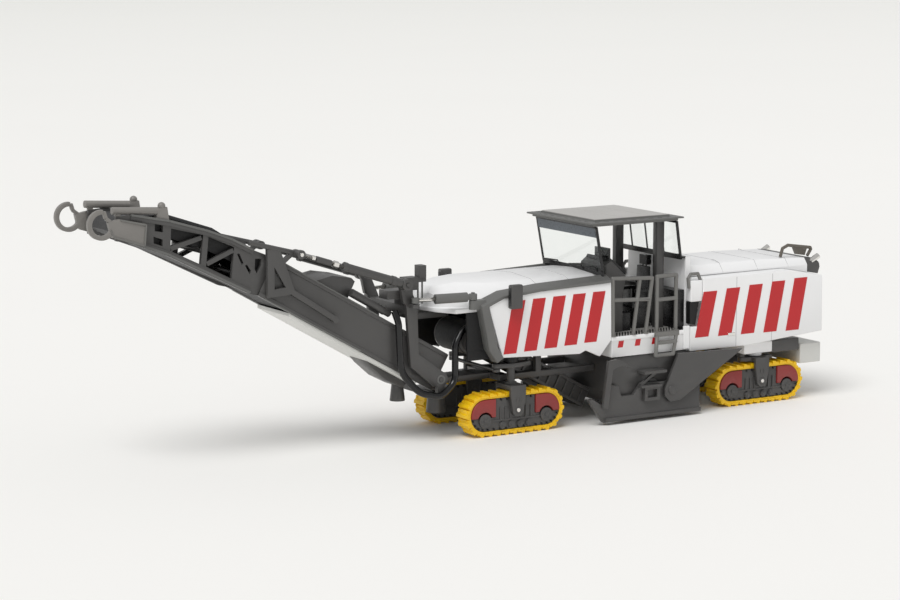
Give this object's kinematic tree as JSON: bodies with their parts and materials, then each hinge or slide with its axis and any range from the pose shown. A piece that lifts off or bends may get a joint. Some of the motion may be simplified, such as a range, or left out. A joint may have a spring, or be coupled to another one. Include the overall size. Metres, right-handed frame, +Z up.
{
  "type": "scale model of a cold planer milling machine",
  "caption": "Small plastic model of a road milling machine on steerable tracks, with a cab canopy, a milling drum and a slewing, lifting discharge conveyor.",
  "frame": {"origin": "under the middle of the whole model's bounding box, on the ground", "axes": "+X forward along the discharge conveyor, +Y left, +Z up"},
  "size_m": [0.1748, 0.0298, 0.0527],
  "materials": {
    "white_plastic": "semi-gloss",
    "pale_plastic": "matt",
    "grey_plastic": "satin",
    "black_plastic": "matt",
    "bright_metal": "polished",
    "clear_plastic": "clear",
    "yellow_plastic": "satin",
    "red_plastic": "satin",
    "belt_plastic": "matt",
    "charcoal_plastic": "satin"
  },
  "bodies": {
    "root": {"front_panels": "white_plastic", "hood_trims": "grey_plastic", "front_hood": "white_plastic", "lamp_boxes": "grey_plastic", "bulkhead": "black_plastic", "chassis": "charcoal_plastic", "primary_conveyor": "charcoal_plastic", "platform": "white_plastic", "rear_body": "white_plastic", "engine_hood": "white_plastic", "cab_wall": "white_plastic", "side_boxes": "white_plastic", "cab_roof": "grey_plastic", "cab_posts": "grey_plastic", "windscreen": "clear_plastic", "rear_window": "clear_plastic", "console": "grey_plastic", "seat": "grey_plastic", "railings": "grey_plastic", "ladders": "grey_plastic", "drum_housing": "charcoal_plastic", "ski_plates": "charcoal_plastic", "swing_plates": "charcoal_plastic", "side_steps": "charcoal_plastic", "rear_crosshead": "white_plastic", "rear_box": "charcoal_plastic", "rear_bumper": "pale_plastic", "rear_grille": "charcoal_plastic", "rear_handrail": "grey_plastic"},
    "drum": {"milling_drum": "charcoal_plastic"},
    "tie_front": {"tie_rod_front": "charcoal_plastic"},
    "tie_rear": {"tie_rod_rear": "charcoal_plastic"},
    "slewing": {"slew_frame": "charcoal_plastic", "hose": "black_plastic"},
    "conveyor": {"conveyor_rear": "charcoal_plastic", "conveyor_front": "charcoal_plastic", "tip_fittings": "grey_plastic", "belt": "belt_plastic", "under_cover": "white_plastic", "belly_guard": "charcoal_plastic", "a_brackets": "charcoal_plastic", "suction_duct": "charcoal_plastic"},
    "lift_barrel": {"lift_barrels": "charcoal_plastic"},
    "lift_rod": {"lift_rods": "bright_metal"},
    "unit_front_left": {"track_front_left": "yellow_plastic", "track_frame_front_left": "charcoal_plastic", "guards_front_left": "red_plastic"},
    "unit_front_right": {"track_front_right": "yellow_plastic", "track_frame_front_right": "charcoal_plastic", "guards_front_right": "red_plastic"},
    "unit_rear_left": {"track_rear_left": "yellow_plastic", "track_frame_rear_left": "charcoal_plastic", "guards_rear_left": "red_plastic"},
    "unit_rear_right": {"track_rear_right": "yellow_plastic", "track_frame_rear_right": "charcoal_plastic", "guards_rear_right": "red_plastic"},
    "slew_barrel_body_left": {"slew_barrel_left": "charcoal_plastic"},
    "slew_rod_body_left": {"slew_rod_left": "bright_metal"},
    "slew_barrel_body_right": {"slew_barrel_right": "charcoal_plastic"},
    "slew_rod_body_right": {"slew_rod_right": "bright_metal"}
  },
  "joints": [
    {"name": "steer_front_left", "type": "hinge", "parent": "root", "child": "unit_front_left", "pos_m": [-0.00645, 0.00855, 0.009], "axis": [0, 0, 1], "range_deg": [-20, 20]},
    {"name": "steer_front_right", "type": "hinge", "parent": "root", "child": "unit_front_right", "pos_m": [-0.00645, -0.00855, 0.009], "axis": [0, 0, 1], "range_deg": [-20, 20]},
    {"name": "steer_rear_left", "type": "hinge", "parent": "root", "child": "unit_rear_left", "pos_m": [-0.07025, 0.00855, 0.009], "axis": [0, 0, 1], "range_deg": [-20, 20]},
    {"name": "steer_rear_right", "type": "hinge", "parent": "root", "child": "unit_rear_right", "pos_m": [-0.07025, -0.00855, 0.009], "axis": [0, 0, 1], "range_deg": [-20, 20]},
    {"name": "tie_rod_front_eye", "type": "hinge", "parent": "unit_front_left", "child": "tie_front", "pos_m": [-0.00285, 0.00855, 0.01342], "axis": [0, 0, 1], "range_deg": [-20, 20]},
    {"name": "tie_rod_rear_eye", "type": "hinge", "parent": "unit_rear_left", "child": "tie_rear", "pos_m": [-0.06665, 0.00855, 0.0108], "axis": [0, 0, 1], "range_deg": [-20, 20]},
    {"name": "drum_spin", "type": "hinge", "parent": "root", "child": "drum", "pos_m": [-0.04025, 0, 0.0073], "axis": [0, 1, 0], "continuous": true},
    {"name": "conveyor_slew", "type": "hinge", "parent": "root", "child": "slewing", "pos_m": [0.00655, 0, 0.01], "axis": [0, 0, 1], "range_deg": [-16, 16]},
    {"name": "conveyor_lift", "type": "hinge", "parent": "slewing", "child": "conveyor", "pos_m": [0.01035, 0, 0.0127], "axis": [0, -1, 0], "range_deg": [-20, 4]},
    {"name": "lift_cylinder_pin", "type": "hinge", "parent": "slewing", "child": "lift_barrel", "pos_m": [0.01915, 0, 0.0331], "axis": [0, -1, 0], "range_deg": [-30, 7]},
    {"name": "lift_rod_slide", "type": "slide", "parent": "lift_barrel", "child": "lift_rod", "axis": [0.951, 0, 0.3091], "range_m": [-0.0018, 0.0068]},
    {"name": "slew_cylinder_pin_left", "type": "hinge", "parent": "root", "child": "slew_barrel_body_left", "pos_m": [0.00455, 0.0113, 0.02975], "axis": [0, 0, 1], "range_deg": [-13, 13]},
    {"name": "slew_rod_slide_left", "type": "slide", "parent": "slew_barrel_body_left", "child": "slew_rod_body_left", "axis": [0.991, -0.1337, 0], "range_m": [-0.0034, 0.0034]},
    {"name": "slew_cylinder_pin_right", "type": "hinge", "parent": "root", "child": "slew_barrel_body_right", "pos_m": [0.00455, -0.0113, 0.02975], "axis": [0, 0, 1], "range_deg": [-13, 13]},
    {"name": "slew_rod_slide_right", "type": "slide", "parent": "slew_barrel_body_right", "child": "slew_rod_body_right", "axis": [0.991, 0.1337, 0], "range_m": [-0.0034, 0.0034]}
  ],
  "couplings": [
    {"joint": "steer_front_right", "follows": "steer_front_left", "ratio": 1},
    {"joint": "steer_rear_right", "follows": "steer_rear_left", "ratio": 1},
    {"joint": "tie_rod_front_eye", "follows": "steer_front_left", "ratio": -1},
    {"joint": "tie_rod_rear_eye", "follows": "steer_rear_left", "ratio": -1},
    {"joint": "lift_cylinder_pin", "follows": "conveyor_lift", "ratio": 1.42},
    {"joint": "lift_rod_slide", "follows": "conveyor_lift", "m_per_rad": -0.0183},
    {"joint": "slew_cylinder_pin_left", "follows": "conveyor_slew", "ratio": 0.74},
    {"joint": "slew_rod_slide_left", "follows": "conveyor_slew", "m_per_rad": -0.01087},
    {"joint": "slew_cylinder_pin_right", "follows": "conveyor_slew", "ratio": 0.74},
    {"joint": "slew_rod_slide_right", "follows": "conveyor_slew", "m_per_rad": 0.01087}
  ]
}
